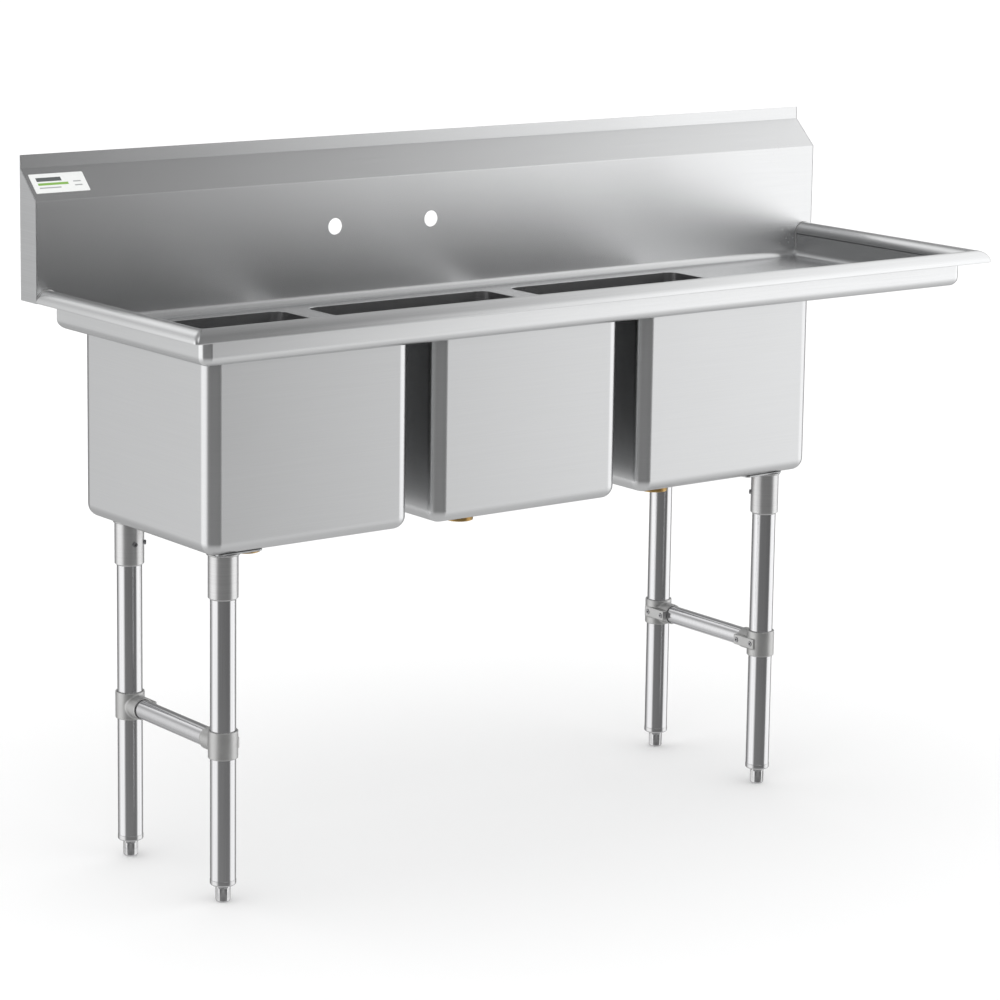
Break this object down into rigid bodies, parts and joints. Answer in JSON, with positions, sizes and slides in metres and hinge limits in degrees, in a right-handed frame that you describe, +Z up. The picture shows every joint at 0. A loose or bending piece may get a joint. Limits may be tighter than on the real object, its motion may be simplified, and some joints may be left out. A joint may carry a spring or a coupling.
{
  "type": "three compartment sink",
  "caption": "Freestanding stainless steel kitchen sink with deep square bowls, backsplash, rolled rim, drainboard on the right and braced tube legs on adjustable feet.",
  "frame": {"origin": "on the floor under the middle of the overall footprint", "axes": "+X along the length towards the drainboard, +Y towards the wall, +Z up"},
  "size_m": [1.6892, 0.5334, 1.1557],
  "materials": {
    "sheet_steel": "satin brushed sheet",
    "bowl_steel": "satin sheet",
    "bracket_steel": "mill finish sheet",
    "socket_steel": "satin turned",
    "tube_steel": "polished tube",
    "cast_alloy": "matte casting",
    "screw_steel": "plated",
    "foot_steel": "turned, bright",
    "drain_steel": "pressed, polished",
    "zinc": "die cast, dull",
    "brass": "turned",
    "rubber": "matt",
    "label": "printed film, plain"
  },
  "bodies": {
    "frame": {"bowl_centre": "bowl_steel", "bowl_left": "bowl_steel", "bowl_right": "bowl_steel", "brace_left": "tube_steel", "brace_right": "tube_steel", "brace_set_screws": "screw_steel", "brace_tee_left_front": "cast_alloy", "brace_tee_left_rear": "cast_alloy", "brace_tee_right_front": "cast_alloy", "brace_tee_right_rear": "cast_alloy", "deck_and_backsplash": "sheet_steel", "drain_body_centre": "drain_steel", "drain_body_left": "drain_steel", "drain_body_right": "drain_steel", "drain_gasket_centre": "rubber", "drain_gasket_left": "rubber", "drain_gasket_right": "rubber", "drain_lock_nut_centre": "zinc", "drain_lock_nut_left": "zinc", "drain_lock_nut_right": "zinc", "drain_outlet_centre": "brass", "drain_outlet_left": "brass", "drain_outlet_right": "brass", "drainboard_channel": "bracket_steel", "end_cap_left": "sheet_steel", "end_cap_right": "sheet_steel", "foot_insert_left_front": "foot_steel", "foot_insert_left_rear": "foot_steel", "foot_insert_right_front": "foot_steel", "foot_insert_right_rear": "foot_steel", "leg_left_front": "tube_steel", "leg_left_rear": "tube_steel", "leg_plate_left_front": "bracket_steel", "leg_plate_left_rear": "bracket_steel", "leg_plate_right_front": "bracket_steel", "leg_plate_right_rear": "bracket_steel", "leg_right_front": "tube_steel", "leg_right_rear": "tube_steel", "leg_socket_left_front": "socket_steel", "leg_socket_left_rear": "socket_steel", "leg_socket_right_front": "socket_steel", "leg_socket_right_rear": "socket_steel", "rating_label": "label", "rolled_rim": "sheet_steel", "socket_set_screws": "screw_steel"},
    "basket_left": {"basket_strainer_left": "drain_steel", "basket_stopper_left": "rubber"},
    "basket_centre": {"basket_strainer_centre": "drain_steel", "basket_stopper_centre": "rubber"},
    "basket_right": {"basket_strainer_right": "drain_steel", "basket_stopper_right": "rubber"},
    "foot_left_front": {"bullet_foot_left_front": "foot_steel"},
    "foot_left_rear": {"bullet_foot_left_rear": "foot_steel"},
    "foot_right_front": {"bullet_foot_right_front": "foot_steel"},
    "foot_right_rear": {"bullet_foot_right_rear": "foot_steel"}
  },
  "joints": [
    {"name": "basket_lift_left", "type": "slide", "parent": "frame", "child": "basket_left", "axis": [0, 0, 1], "range_m": [0, 0.45]},
    {"name": "basket_lift_centre", "type": "slide", "parent": "frame", "child": "basket_centre", "axis": [0, 0, 1], "range_m": [0, 0.45]},
    {"name": "basket_lift_right", "type": "slide", "parent": "frame", "child": "basket_right", "axis": [0, 0, 1], "range_m": [0, 0.45]},
    {"name": "foot_adjust_left_front", "type": "slide", "parent": "frame", "child": "foot_left_front", "axis": [0, 0, 1], "range_m": [-0.02, 0]},
    {"name": "foot_adjust_left_rear", "type": "slide", "parent": "frame", "child": "foot_left_rear", "axis": [0, 0, 1], "range_m": [-0.02, 0]},
    {"name": "foot_adjust_right_front", "type": "slide", "parent": "frame", "child": "foot_right_front", "axis": [0, 0, 1], "range_m": [-0.02, 0]},
    {"name": "foot_adjust_right_rear", "type": "slide", "parent": "frame", "child": "foot_right_rear", "axis": [0, 0, 1], "range_m": [-0.02, 0]}
  ]
}
